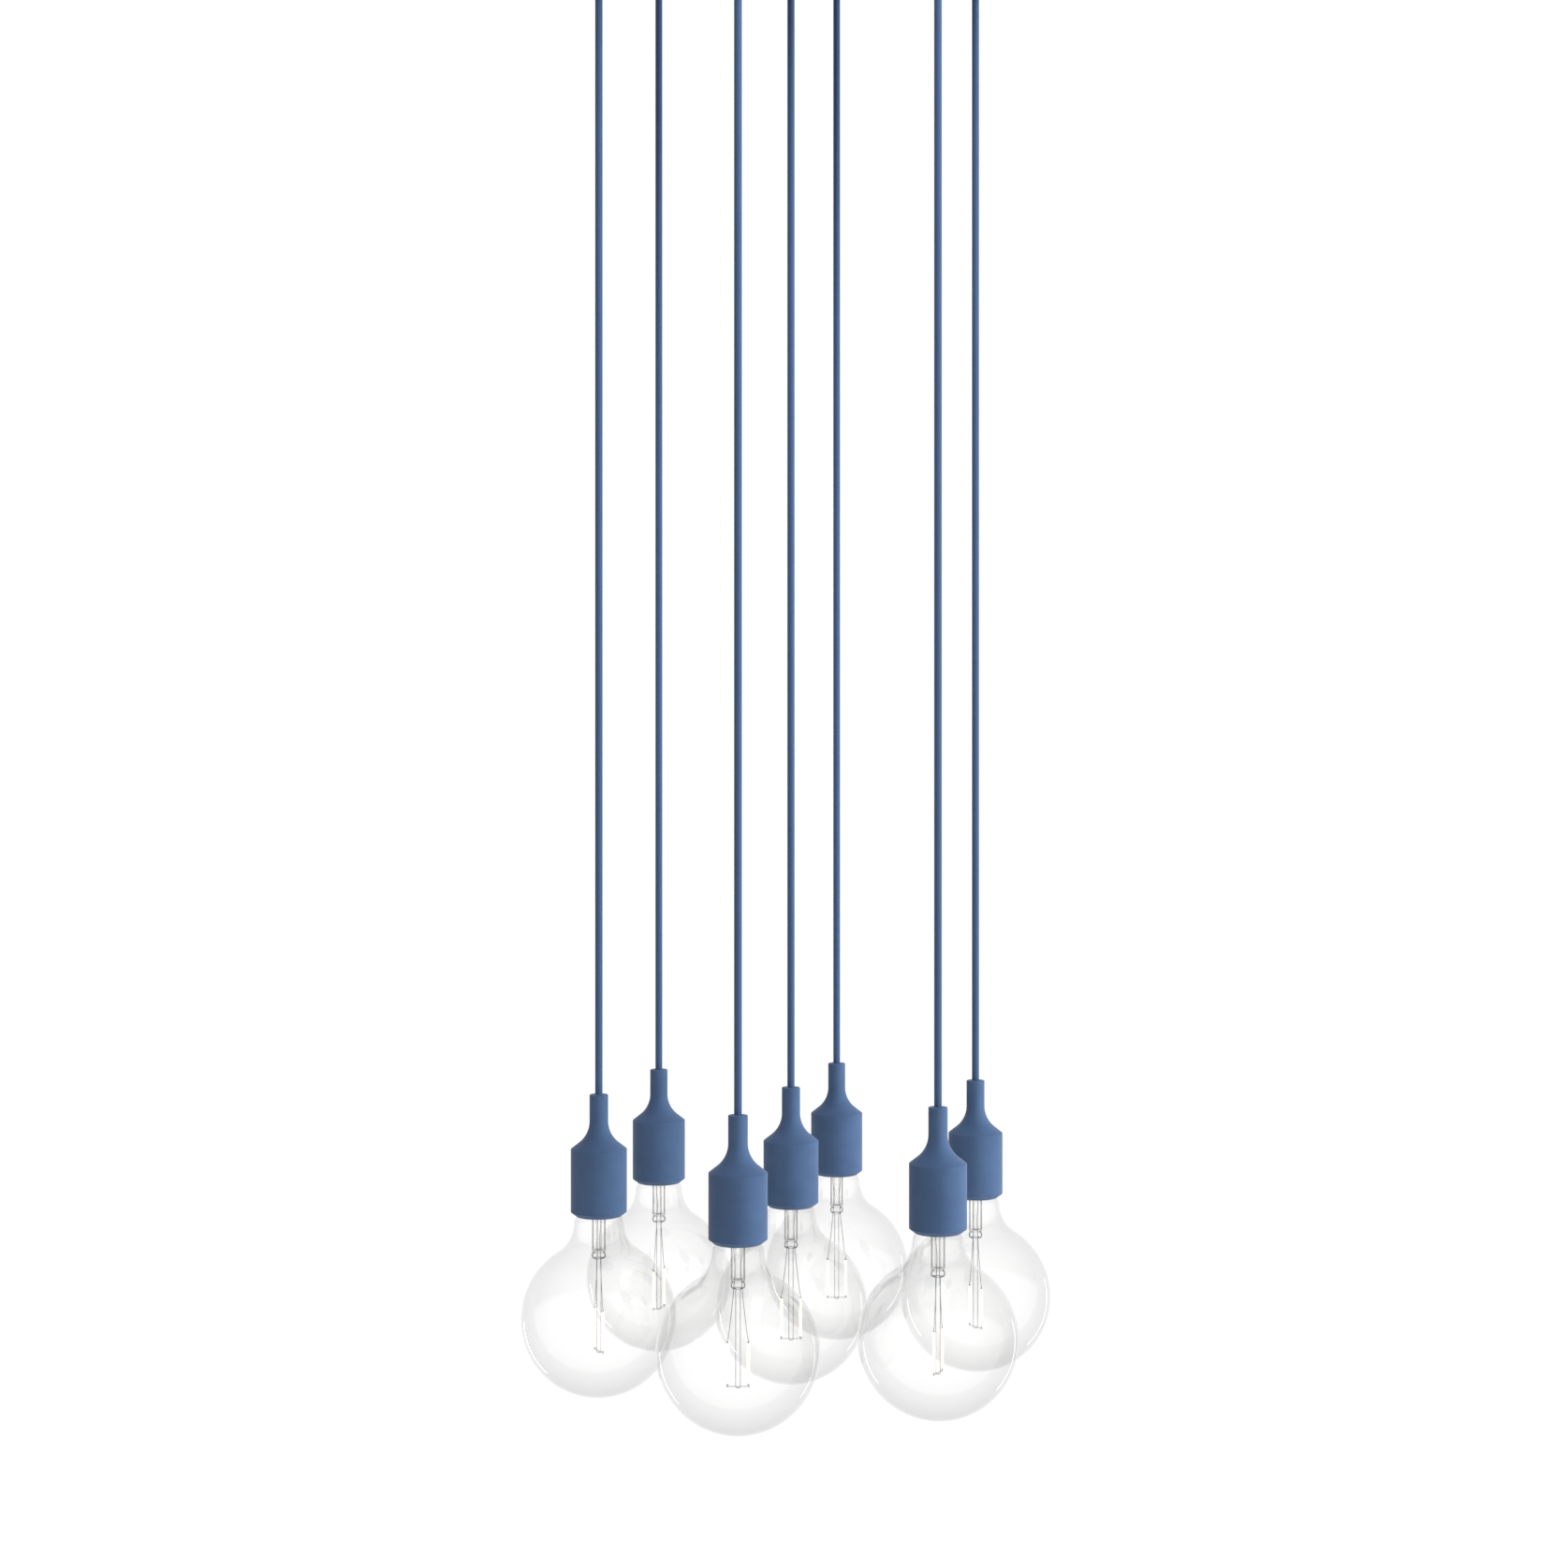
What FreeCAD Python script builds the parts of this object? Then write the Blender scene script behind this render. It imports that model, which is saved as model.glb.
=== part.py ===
import FreeCAD, Part
import os
import re
import Sketcher
from FreeCAD import Vector

# Cluster pendant: seven globe lamps on blue cords under one round ceiling canopy.
# Millimetres and degrees. The ceiling is the plane z = 0 and the lamps hang along -Z.
# Each lamp is drawn once, with the mouth of its cover's neck at z = 0, and repeated by links.

SIZES = {
    # cluster
    "pitch": 160,  # from the centre lamp to each of the six around it
    "ring_turn": 15.3,  # the ring's first lamp, counterclockwise from +X
    "canopy_drop": 35,  # ceiling to the canopy's underside
    "grip_drop": 20,  # canopy's underside to the mouth of a cord grip
    "cord_run": 945,  # mouth of a cord grip to the neck of a cover
    "cord_d": 6,
    "fit": 0.3,  # gap between pieces that move or slip over each other
    "seat": 0.1,  # gap between pieces that are screwed or pressed together
    # canopy, bracket and cord grips
    "canopy_margin": 30,  # ring of cords to the canopy's edge
    "canopy_sheet": 1.2,
    "canopy_round": 10,
    "bracket_width": 28,
    "bracket_sheet": 2,
    "bracket_drop": 20,
    "bracket_bend": 3,
    "tab_gap": 1,  # canopy wall to the bracket's end, measured on the centre line
    "slot_spacing": 200,
    "slot_length": 20,
    "slot_width": 5.2,
    "supply_d": 16,
    "block_x": 45,
    "block_length": 36,
    "block_width": 18,
    "block_height": 15,
    "wire_hole_d": 4,
    "grip_d": 16,
    "grip_nose_d": 11,
    "grip_thread_d": 10,
    "grip_thread_length": 12,
    "grip_mouth": 1.2,
    "nut_d": 17,
    "nut_height": 5,
    "tail_length": 6,
    # silicone cover
    "cover_length": 97.4,
    "cover_wall": 2.3,
    "neck_r": 7.5,
    "neck_length": 21.3,
    "neck_round": 0.8,
    "flare_r": 22,
    "flare_angle": 52,
    "lip_height": 3.4,  # the rim turns in over the glass
    "lip_reach": 4.4,
    "lip_edge": 0.7,
    "lip_gap": 3.3,  # lip to the glass collar
    # lamp holder, screw shell and contacts
    "skirt_inset": 10.4,  # cover's rim to the holder's lower edge
    "thread_r": 13,  # outside of the bulb's cap
    "shell_gap": 0.4,
    "shell_wall": 0.5,
    "shell_length": 23.5,
    "shell_flange_r": 8,
    "contact_r": 4.5,
    "contact_dome": 0.8,
    "tip_gap": 0.2,
    "socket_top": 61,  # cover's mouth to the floor of the socket
    # bulb
    "tip_top": 64,  # cover's mouth to the tip of a bulb that is screwed home
    "globe_drop": 179.5,  # cover's mouth to the centre of the globe
    "globe_r": 62.5,
    "globe_wall": 0.7,
    "throat_r": 28,  # hollow curve between the globe and its neck
    "glass_neck_r": 20.1,
    "glass_shoulder_r": 6,
    "glass_collar": 6.1,  # cap's edge to the glass shoulder
    "glass_neck_start": 12.2,  # cap's edge to the throat
    "cap_height": 22.5,
    "cap_wall": 0.5,
    "cap_shoulder_r": 10.5,
    "cap_shoulder": 2,
    "insulator_r": 6,
    "insulator_height": 3.2,
    "button_r": 4.8,
    "button_height": 0.9,
    # stem, support wires and light-emitting filaments
    "stem_r": 5.4,
    "stem_wall": 0.7,
    "stem_flare": 6,
    "stem_length": 32,  # cap's edge to the end of the straight stem tube
    "waist_r": 4.2,
    "waist_drop": 4,
    "collar_height": 4.2,
    "collar_round": 2.4,
    "rod_r": 2,
    "rod_end": 116.5,  # cap's edge to the end of the glass rod
    "rod_round": 1,
    "filament_r": 1.1,
    "filament_length": 33,
    "filament_reach": 7.8,
    "lead_r": 0.3,
    "lead_reach": 3.1,
    "hook_reach": 8.6,
    "hook_r": 0.4,
    "hook_rise": 1.6,  # rod's end to the cross wire
}

# Lamp letters run from left to right as seen from -Y. A ring lamp has its place after the ring's first
# lamp, the centre lamp has none, and each bulb is screwed home facing its own way about +Z.
LAMPS = {
    "a": {"place": 180, "bulb_turn": -62},
    "b": {"place": 120, "bulb_turn": 58},
    "c": {"place": 240, "bulb_turn": 0},
    "d": {"place": None, "bulb_turn": 0},
    "e": {"place": 60, "bulb_turn": 0},
    "f": {"place": 300, "bulb_turn": 63},
    "g": {"place": 0, "bulb_turn": -56},
}

# Heights that several pieces share, as expressions on the sheet.
CANOPY_R = "(pitch + canopy_margin)"
MOUTH = "(canopy_drop + grip_drop)"
NECK_TOP = f"({MOUTH} + cord_run)"
GLASS_COLLAR_R = "(glass_neck_r - glass_shoulder_r)"
LIP_R = f"({GLASS_COLLAR_R} + lip_gap)"
COVER_R = f"({LIP_R} + lip_edge + lip_reach)"
SHOULDER = (
    "(neck_length + flare_r * sin(flare_angle)"
    f" + ({COVER_R} - neck_r - flare_r * (1 - cos(flare_angle))) / tan(flare_angle))"
)
HOLDER_END = "(cover_length - skirt_inset)"
GLASS_TOP = "(tip_top + button_height + insulator_height + cap_height + seat)"
THROAT = "(globe_r + throat_r)"
THROAT_REACH = "(glass_neck_r + throat_r)"

doc = FreeCAD.newDocument("ClusterPendant")
sheet = doc.addObject("Spreadsheet::Sheet", "Sizes")


def fill_sheet():
    for row, (word, number) in enumerate(SIZES.items(), 1):
        sheet.set(f"A{row}", word)
        sheet.set(f"B{row}", str(number))
        sheet.setAlias(f"B{row}", word)
    doc.recompute()


def on_sheet(text):
    """The expression with each size's word pointed at its cell."""
    return re.sub(r"[a-z]\w*", lambda word: f"Sizes.{word[0]}" if word[0] in SIZES else word[0], text)


def number(text):
    return float(sheet.evalExpression(on_sheet(text)))


def bind(item, **expressions):
    """Ties properties to the sheet. A double underscore in a name stands for a dot."""
    for name, text in expressions.items():
        item.setExpression(name.replace("__", "."), on_sheet(text))
    return item


def origin_plane(body, role):
    return next(plane for plane in body.Origin.OriginFeatures if plane.Role == role)


def arc_between(start, end, radius, turn):
    """The short arc from start to end. A turn of 1 is counterclockwise and -1 clockwise."""
    half = (end - start) / 2
    across = Vector(-half.y, half.x, 0).normalize()
    centre = start + half + across * turn * (radius**2 - half.Length**2) ** 0.5
    circle = Part.Circle(centre, Vector(0, 0, 1), radius)
    ends = (start, end) if turn > 0 else (end, start)
    return Part.ArcOfCircle(circle, circle.parameter(ends[0]), circle.parameter(ends[1]))


def draw(sketch, corners):
    """A closed outline. A corner is (x, y), or (x, y, radius, turn) where an arc leaves it."""
    points = [Vector(number(corner[0]), number(corner[1]), 0) for corner in corners]
    starts = []
    for index, corner in enumerate(corners):
        after = points[(index + 1) % len(points)]
        if len(corner) == 2:
            sketch.addGeometry(Part.LineSegment(points[index], after), False)
            starts.append(1)
        else:
            sketch.addGeometry(arc_between(points[index], after, number(corner[2]), corner[3]), False)
            starts.append(1 if corner[3] > 0 else 2)
    for index, corner in enumerate(corners):
        start = starts[index]
        before = index - 1 if index else len(corners) - 1
        joint = Sketcher.Constraint("Coincident", before, 3 - starts[before], index, start)
        sketch.addConstraint(joint)
        for kind, text, axis, offset in (
            ("DistanceX", corner[0], -2, points[index].x),
            ("DistanceY", corner[1], -1, points[index].y),
        ):
            if text == "0":
                sketch.addConstraint(Sketcher.Constraint("PointOnObject", index, start, axis))
                continue
            place = sketch.addConstraint(Sketcher.Constraint(kind, -1, 1, index, start, offset))
            bind(sketch, **{f"Constraints[{place}]": text})
        if len(corner) == 4:
            size = sketch.addConstraint(Sketcher.Constraint("Radius", index, number(corner[2])))
            bind(sketch, **{f"Constraints[{size}]": corner[2]})


def outline(body, name, role, corners):
    sketch = body.newObject("Sketcher::SketchObject", name)
    sketch.AttachmentSupport = [(origin_plane(body, role), "")]
    sketch.MapMode = "FlatFace"
    draw(sketch, corners)
    return sketch


def turned(name, corners):
    """A body of revolution about Z, from (radius, height) corners."""
    body = doc.addObject("PartDesign::Body", name)
    sketch = outline(body, f"{name}_outline", "XZ_Plane", corners)
    spin = body.newObject("PartDesign::Revolution", f"{name}_turning")
    spin.Profile = sketch
    spin.ReferenceAxis = (sketch, ["V_Axis"])
    spin.Angle = 360
    return body


def rectangle(left, low, right, high):
    return [(left, low), (right, low), (right, high), (left, high)]


def through_pocket(body, sketch, name):
    """Cuts the sketch both ways through the body."""
    pocket = body.newObject("PartDesign::Pocket", name)
    pocket.Profile = sketch
    pocket.Type = "ThroughAll"
    pocket.Midplane = True
    return pocket


def circle_sketch(body, name, x, y, diameter):
    sketch = body.newObject("Sketcher::SketchObject", name)
    sketch.AttachmentSupport = [(origin_plane(body, "XY_Plane"), "")]
    sketch.MapMode = "FlatFace"
    centre = Vector(number(x), number(y), 0)
    sketch.addGeometry(Part.Circle(centre, Vector(0, 0, 1), number(diameter) / 2), False)
    for kind, text, axis, offset in (("DistanceX", x, -2, centre.x), ("DistanceY", y, -1, centre.y)):
        if text == "0":
            sketch.addConstraint(Sketcher.Constraint("PointOnObject", 0, 3, axis))
            continue
        place = sketch.addConstraint(Sketcher.Constraint(kind, -1, 1, 0, 3, offset))
        bind(sketch, **{f"Constraints[{place}]": text})
    size = sketch.addConstraint(Sketcher.Constraint("Diameter", 0, number(diameter)))
    bind(sketch, **{f"Constraints[{size}]": diameter})
    return sketch


def group(name, members):
    """Separate solids that share one node."""
    compound = doc.addObject("Part::Compound", name)
    compound.Links = members
    return compound


def cylinder(name, radius, height):
    return bind(doc.addObject("Part::Cylinder", name), Radius=radius, Height=height)


# ---- canopy -------------------------------------------------------------------------------------------------


def make_canopy_pan():
    """Spun steel dish with a hole for each cord grip."""
    inside = "(canopy_round - canopy_sheet)"
    body = turned(
        "pan",
        [
            ("0", "-canopy_drop"),
            (f"{CANOPY_R} - canopy_round", "-canopy_drop", "canopy_round", 1),
            (CANOPY_R, "canopy_round - canopy_drop"),
            (CANOPY_R, "0"),
            (f"{CANOPY_R} - canopy_sheet", "0"),
            (f"{CANOPY_R} - canopy_sheet", "canopy_round - canopy_drop", inside, -1),
            (f"{CANOPY_R} - canopy_round", "canopy_sheet - canopy_drop"),
            ("0", "canopy_sheet - canopy_drop"),
        ],
    )
    hole = "grip_thread_d + 2 * seat"
    through_pocket(body, circle_sketch(body, "pan_centre_hole", "0", "0", hole), "pan_centre_cut")
    first = circle_sketch(
        body, "pan_ring_hole", "pitch * cos(ring_turn)", "pitch * sin(ring_turn)", hole
    )
    cut = through_pocket(body, first, "pan_ring_cut")
    doc.recompute()
    ring = body.newObject("PartDesign::PolarPattern", "pan_ring_holes")
    ring.Originals = [cut]
    ring.Axis = (next(axis for axis in body.Origin.OriginFeatures if axis.Role == "Z_Axis"), [""])
    ring.Angle = 360
    ring.Occurrences = len(LAMPS) - 1
    body.Tip = ring
    return body


def make_ceiling_bracket():
    """Bent strip with two ceiling slots, the supply hole and an end tab at each side of the canopy."""
    reach = f"({CANOPY_R} - canopy_sheet - tab_gap)"
    inner = f"({reach} - bracket_sheet)"
    body = doc.addObject("PartDesign::Body", "bracket")
    bend_in = "(bracket_bend - bracket_sheet)"
    profile = outline(
        body,
        "bracket_profile",
        "XZ_Plane",
        [
            (f"bracket_bend - {reach}", "0", "bracket_bend", 1),
            (f"-{reach}", "-bracket_bend"),
            (f"-{reach}", "-bracket_drop"),
            (f"-{inner}", "-bracket_drop"),
            (f"-{inner}", "-bracket_bend", bend_in, -1),
            (f"{bend_in} - {inner}", "-bracket_sheet"),
            (f"{inner} - {bend_in}", "-bracket_sheet", bend_in, -1),
            (inner, "-bracket_bend"),
            (inner, "-bracket_drop"),
            (reach, "-bracket_drop"),
            (reach, "-bracket_bend", "bracket_bend", 1),
            (f"{reach} - bracket_bend", "0"),
        ],
    )
    strip = body.newObject("PartDesign::Pad", "bracket_strip")
    strip.Profile = profile
    strip.Midplane = True
    bind(strip, Length="bracket_width")
    supply = circle_sketch(body, "supply_hole", "0", "0", "supply_d")
    through_pocket(body, supply, "supply_cut")
    half = "slot_width / 2"
    for side, name in ((-1, "left"), (1, "right")):
        middle = f"{side} * slot_spacing / 2"
        inner_end = f"({middle} - slot_length / 2)"
        outer_end = f"({middle} + slot_length / 2)"
        slot = outline(
            body,
            f"{name}_slot",
            "XY_Plane",
            [
                (f"{inner_end} + {half}", f"-{half}"),
                (f"{outer_end} - {half}", f"-{half}", half, 1),
                (outer_end, "0", half, 1),
                (f"{outer_end} - {half}", half),
                (f"{inner_end} + {half}", half, half, 1),
                (inner_end, "0", half, 1),
            ],
        )
        through_pocket(body, slot, f"{name}_slot_cut")
    return body


def make_cord_grip():
    """Turned grip under the canopy, with a threaded stub and a bore that the cord leaves by."""
    bore = "(cord_d / 2 + fit)"
    stub_top = "grip_thread_length - canopy_drop"
    return turned(
        "grip",
        [
            (bore, f"{stub_top}"),
            (bore, f"grip_mouth - {MOUTH}"),
            (f"{bore} + grip_mouth", f"-{MOUTH}"),
            ("grip_nose_d / 2", f"-{MOUTH}"),
            ("grip_d / 2", "-canopy_drop - grip_drop / 3"),
            ("grip_d / 2", "-canopy_drop"),
            ("grip_thread_d / 2", "-canopy_drop"),
            ("grip_thread_d / 2", f"{stub_top}"),
        ],
    )


def make_grip_nut():
    floor = "(canopy_sheet - canopy_drop)"
    return turned(
        "nut",
        [
            ("grip_thread_d / 2 + seat", floor),
            ("nut_d / 2", floor),
            ("nut_d / 2", f"{floor} + nut_height"),
            ("grip_thread_d / 2 + seat", f"{floor} + nut_height"),
        ],
    )


def make_cord_tail():
    """The cord's gripped end, from just above the bend in the mouth to a little above the grip."""
    tail = cylinder(
        "tail", "cord_d / 2", f"grip_thread_length + tail_length + grip_drop - cord_d / 2 - fit"
    )
    return bind(tail, Placement__Base__z=f"cord_d / 2 + fit - {MOUTH}")


def make_terminal_block():
    """Three-way block under the bracket, with a wire hole at both ends of each way."""
    body = doc.addObject("PartDesign::Body", "block")
    top = "(-bracket_sheet)"
    low = f"({top} - block_height)"
    front = outline(
        body,
        "block_outline",
        "XZ_Plane",
        rectangle("block_x", low, "block_x + block_length", top),
    )
    pad = body.newObject("PartDesign::Pad", "block_pad")
    pad.Profile = front
    pad.Midplane = True
    bind(pad, Length="block_width")
    for way in range(3):
        hole = body.newObject("Sketcher::SketchObject", f"way_{way + 1}")
        hole.AttachmentSupport = [(origin_plane(body, "XZ_Plane"), "")]
        hole.MapMode = "FlatFace"
        along = f"block_x + block_length * {2 * way + 1} / 6"
        height = f"{top} - block_height / 2"
        hole.addGeometry(
            Part.Circle(Vector(number(along), number(height), 0), Vector(0, 0, 1), 1), False
        )
        for kind, text in (("DistanceX", along), ("DistanceY", height)):
            place = hole.addConstraint(Sketcher.Constraint(kind, -1, 1, 0, 3, number(text)))
            bind(hole, **{f"Constraints[{place}]": text})
        size = hole.addConstraint(Sketcher.Constraint("Diameter", 0, number("wire_hole_d")))
        bind(hole, **{f"Constraints[{size}]": "wire_hole_d"})
        through_pocket(body, hole, f"way_{way + 1}_cut")
    return body


# ---- one lamp, from the mouth of its cover's neck downwards -------------------------------------------------


def make_cord():
    """Straight under the lamp's weight, with a round end at each of its two bends."""
    radius = "cord_d / 2"
    return turned(
        "cord",
        [
            ("0", f"-{radius}", radius, 1),
            (radius, "0"),
            (radius, "cord_run", radius, 1),
            ("0", f"cord_run + {radius}"),
        ],
    )


def bell_side(inset, turn=1):
    """The cover's flank from neck to shoulder, moved inwards by inset, read downwards if turn is 1."""
    flare = f"(flare_r + {inset})"
    flank = [
        (f"neck_r - {inset}", "-neck_length", flare, 1),
        (
            f"neck_r + flare_r - {flare} * cos(flare_angle)",
            f"-neck_length - {flare} * sin(flare_angle)",
        ),
        (f"{COVER_R} - {inset}", f"-{SHOULDER} - {inset} * tan(flare_angle / 2)"),
    ]
    if turn == 1:
        return flank
    shoulder, cone, neck = (corner[:2] for corner in reversed(flank))
    return [shoulder, (*cone, flare, -1), neck]


def make_silicone_cover():
    """Moulded bell: a lip round the cord, a slim neck, a flare, a cone and a skirt turned in at its rim."""
    bore = "(cord_d / 2 + fit)"
    edge = f"({LIP_R} + lip_edge)"
    slope = "(lip_height / lip_reach)"
    inside = f"({COVER_R} - cover_wall)"
    return turned(
        "cover",
        [
            (bore, "0"),
            ("neck_r - neck_round", "0", "neck_round", -1),
            ("neck_r", "-neck_round"),
            *bell_side("0"),
            (COVER_R, "lip_height - cover_length"),
            (edge, "-cover_length"),
            (LIP_R, "-cover_length"),
            (LIP_R, f"cover_wall - cover_length - lip_edge * {slope}"),
            (inside, f"cover_wall - cover_length + ({inside} - {edge}) * {slope}"),
            *bell_side("cover_wall", -1),
            ("neck_r - cover_wall", "-cover_wall"),
            (bore, "-cover_wall"),
        ],
    )


def make_lamp_holder():
    """Insulating holder that fills the cover's bell, with its cord nipple up the neck."""
    inset = "(cover_wall + fit)"
    nipple_top = "-(cord_d / 2 + fit)"
    socket = "(thread_r + shell_gap + shell_wall + seat)"
    return turned(
        "holder",
        [
            ("0", nipple_top),
            (f"neck_r - {inset}", nipple_top),
            *bell_side(inset),
            (f"{COVER_R} - {inset}", f"-{HOLDER_END}"),
            (socket, f"-{HOLDER_END}"),
            (socket, "-socket_top"),
            ("0", "-socket_top"),
        ],
    )


def make_screw_shell():
    """Brass shell with its flange on the holder's floor."""
    inner = "(thread_r + shell_gap)"
    top = "-(socket_top + seat)"
    return turned(
        "shell",
        [
            ("shell_flange_r", top),
            (f"{inner} + shell_wall", top),
            (f"{inner} + shell_wall", f"{top} - shell_length"),
            (inner, f"{top} - shell_length"),
            (inner, f"{top} - shell_wall"),
            ("shell_flange_r", f"{top} - shell_wall"),
        ],
    )


def make_centre_contact():
    """Sprung tongue, drawn as the domed disc that the bulb's tip meets."""
    top = "-(socket_top + seat)"
    low = "(tip_gap - tip_top)"
    sphere = "((contact_r^2 + contact_dome^2) / (2 * contact_dome))"
    return turned(
        "contact",
        [
            ("0", top),
            ("0", low, sphere, 1),
            ("contact_r", f"{low} + contact_dome"),
            ("contact_r", top),
        ],
    )


def make_tip_button():
    return turned(
        "button", rectangle("0", "-tip_top - button_height", "button_r", "-tip_top")
    )


def make_tip_insulator():
    top = "(-tip_top - button_height)"
    return turned(
        "insulator",
        [
            ("0", top),
            ("0", f"{top} - insulator_height"),
            ("cap_shoulder_r", f"{top} - insulator_height"),
            ("insulator_r", top),
        ],
    )


def make_bulb_cap():
    """Thin screw cap from the insulator to the glass."""
    low = f"(-{GLASS_TOP})"
    top = f"({low} + cap_height)"
    return turned(
        "cap",
        [
            ("cap_shoulder_r - cap_shoulder", top),
            ("cap_shoulder_r - cap_shoulder", f"{top} - cap_wall"),
            ("cap_shoulder_r - cap_wall / 2", f"{top} - cap_wall"),
            ("thread_r - cap_wall", f"{top} - cap_shoulder - cap_wall / 2"),
            ("thread_r - cap_wall", low),
            ("thread_r", low),
            ("thread_r", f"{top} - cap_shoulder"),
            ("cap_shoulder_r", top),
        ],
    )


def throat_corner(offset):
    """Where the throat's curve meets the globe, on the surface offset inwards."""
    globe = f"(globe_r - {offset})"
    share = f"{globe} / {THROAT}"
    rise = f"sqrt({THROAT}^2 - {THROAT_REACH}^2)"
    return f"{THROAT_REACH} * {share}", f"{rise} * {share} - globe_drop"


def make_bulb_glass():
    """Envelope and stem in one piece of glass: globe, throat, neck, seal, stem tube, collar and rod."""
    top = f"(-{GLASS_TOP})"
    throat_end = f"({top} - glass_neck_start)"
    collar_end = f"({top} - glass_collar)"
    shoulder_end = f"({collar_end} - glass_shoulder_r)"
    stem_end = f"({top} - stem_length)"
    collar = f"({stem_end} - waist_drop)"
    rod_low = f"({top} - rod_end)"
    flare_centre = "(stem_r + stem_flare)"
    flare_low = f"({top} - stem_wall - stem_flare)"
    inner_neck = "(glass_neck_r - globe_wall)"
    inner_globe = "(globe_r - globe_wall)"
    outer_x, outer_y = throat_corner("0")
    inner_x, inner_y = throat_corner("globe_wall")
    return turned(
        "glass",
        [
            ("0", "-globe_drop - globe_r", "globe_r", 1),
            (outer_x, outer_y, "throat_r", -1),
            ("glass_neck_r", throat_end),
            ("glass_neck_r", shoulder_end, "glass_shoulder_r", 1),
            (GLASS_COLLAR_R, collar_end),
            (GLASS_COLLAR_R, top),
            (flare_centre, top, "stem_flare + stem_wall", 1),
            ("stem_r - stem_wall", flare_low),
            ("stem_r - stem_wall", stem_end),
            ("0", f"{stem_end} - waist_drop / 2"),
            ("0", rod_low),
            ("rod_r - rod_round", rod_low, "rod_round", 1),
            ("rod_r", f"{rod_low} + rod_round"),
            ("rod_r", f"{collar} - collar_height"),
            ("waist_r", f"{collar} - collar_height", "collar_round", 1),
            ("waist_r", collar),
            ("stem_r", stem_end),
            ("stem_r", flare_low, "stem_flare", -1),
            (flare_centre, f"{top} - stem_wall"),
            (f"{GLASS_COLLAR_R} - globe_wall", f"{top} - stem_wall"),
            (f"{GLASS_COLLAR_R} - globe_wall", f"{collar_end} - globe_wall"),
            (GLASS_COLLAR_R, f"{collar_end} - globe_wall", "glass_shoulder_r - globe_wall", -1),
            (inner_neck, shoulder_end),
            (inner_neck, throat_end, "throat_r + globe_wall", 1),
            (inner_x, inner_y, inner_globe, -1),
            ("0", f"-globe_drop - {inner_globe}"),
        ],
    )


def make_filaments():
    """Two upright filaments between the leads from the stem's collar and the cross wires on the rod."""
    hook = f"(hook_rise - {GLASS_TOP} - rod_end)"
    low = f"({hook} + hook_r + seat)"
    high = f"({low} + filament_length)"
    collar_low = f"(-{GLASS_TOP} - stem_length - waist_drop - collar_height - seat)"
    lean = f"(filament_reach - lead_reach) / ({collar_low} - {high} - seat)"
    solids = []
    for side, name in ((-1, "left"), (1, "right")):
        filament = cylinder(f"{name}_filament", "filament_r", "filament_length")
        bind(filament, Placement__Base__x=f"{side} * filament_reach", Placement__Base__z=low)
        lead = cylinder(
            f"{name}_lead",
            "lead_r",
            f"({collar_low} - {high} - seat - 2 * lead_r) / cos(atan({lean}))",
        )
        lead.Placement.Rotation = FreeCAD.Rotation(Vector(0, side, 0), 180)
        bind(
            lead,
            Placement__Rotation__Angle=f"180 deg - atan({lean})",
            Placement__Base__x=f"{side} * lead_reach",
            Placement__Base__z=f"{collar_low} - lead_r",
        )
        wire = cylinder(f"{name}_cross_wire", "hook_r", "hook_reach - rod_r - seat")
        wire.Placement.Rotation = FreeCAD.Rotation(Vector(0, side, 0), 90)
        bind(wire, Placement__Base__x=f"{side} * (rod_r + seat)", Placement__Base__z=hook)
        solids += [filament, lead, wire]
    return group("filaments", solids)


# ---- the whole cluster ---------------------------------------------------------------------------------------


def lamp_place(place):
    """The (x, y) of a lamp's axis: on the ring, or at the centre."""
    if place is None:
        return "0", "0"
    return f"pitch * cos(ring_turn + {place})", f"pitch * sin(ring_turn + {place})"


def link_to(master, name, place, height, turn=0):
    x, y = lamp_place(place)
    link = doc.addObject("App::Link", name)
    link.LinkedObject = master
    link.LinkTransform = True
    link.Label = name
    link.Placement.Rotation = FreeCAD.Rotation(Vector(0, 0, 1), turn)
    return bind(link, Placement__Base__x=x, Placement__Base__y=y, Placement__Base__z=height)


def build_model():
    """Every sub-part of the pendant, by its node's name."""
    fill_sheet()
    places = [lamp["place"] for lamp in LAMPS.values()]
    grip, nut, tail = make_cord_grip(), make_grip_nut(), make_cord_tail()
    fixed = {
        "canopy_pan": make_canopy_pan(),
        "ceiling_bracket": make_ceiling_bracket(),
        "cord_grips": group(
            "grips",
            [
                link_to(piece, f"{piece.Name}_{letter}", place, "0")
                for piece in (grip, nut)
                for letter, place in zip(LAMPS, places)
            ],
        ),
        "canopy_wiring": group(
            "wiring",
            [make_terminal_block()]
            + [link_to(tail, f"tail_{letter}", place, "0") for letter, place in zip(LAMPS, places)],
        ),
    }
    for name, piece in fixed.items():
        piece.Label = name
    masters = {
        "cord": make_cord(),
        "silicone_cover": make_silicone_cover(),
        "lamp_holder": make_lamp_holder(),
        "holder_contacts": group("contacts", [make_screw_shell(), make_centre_contact()]),
        "bulb_tip": group("tip", [make_tip_button(), make_tip_insulator()]),
        "bulb_cap": make_bulb_cap(),
        "bulb_glass": make_bulb_glass(),
        "bulb_filaments": make_filaments(),
    }
    doc.recompute()
    nodes = dict(fixed)
    for letter, lamp in LAMPS.items():
        for name, master in masters.items():
            turn = lamp["bulb_turn"] if name.startswith("bulb") else 0
            node = f"{name}_{letter}"
            nodes[node] = link_to(master, node, lamp["place"], f"-{NECK_TOP}", turn)
    doc.recompute()
    return nodes


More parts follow.
